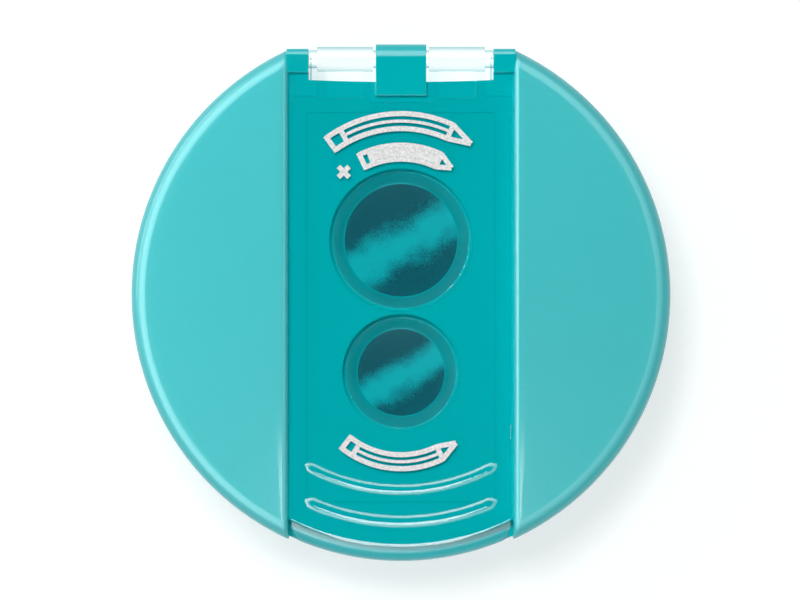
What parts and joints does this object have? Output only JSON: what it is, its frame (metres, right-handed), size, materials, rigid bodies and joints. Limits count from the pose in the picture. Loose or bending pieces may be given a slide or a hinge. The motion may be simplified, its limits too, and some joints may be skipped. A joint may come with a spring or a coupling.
{
  "type": "pencil sharpener",
  "caption": "Round tub pencil sharpener: a domed casing in two halves, a clear hinged lid with plug cups, and an insert with a narrow and a wide conical bore, each with a screwed blade.",
  "frame": {"origin": "centre of the flat back face of the tub, on the axis of the round casing", "axes": "+Z out of the front (the face with the lid), +Y towards the lid's hinge, +X to the right seen from the front with the hinge at the top"},
  "size_m": [0.054, 0.0519, 0.0277],
  "materials": {
    "matte_teal": "fine spark-eroded satin",
    "gloss_teal": "polished",
    "clear_plastic": "clear, polished",
    "blade_steel": "ground",
    "screw_steel": "bright zinc"
  },
  "bodies": {
    "tub": {"rear_tub": "matte_teal"},
    "head": {"front_shell": "matte_teal", "sharpener_insert": "gloss_teal", "blade_large": "blade_steel", "blade_screw_large": "screw_steel", "blade_small": "blade_steel", "blade_screw_small": "screw_steel"},
    "lid": {"lid": "clear_plastic"}
  },
  "joints": [
    {"name": "tub_pull_off", "type": "slide", "parent": "tub", "child": "head", "axis": [0, 0, 1], "range_m": [0, 0.03]},
    {"name": "lid_hinge", "type": "hinge", "parent": "head", "child": "lid", "pos_m": [0, 0.02357, 0.02495], "axis": [-1, 0, 0], "range_deg": [0, 180]}
  ]
}
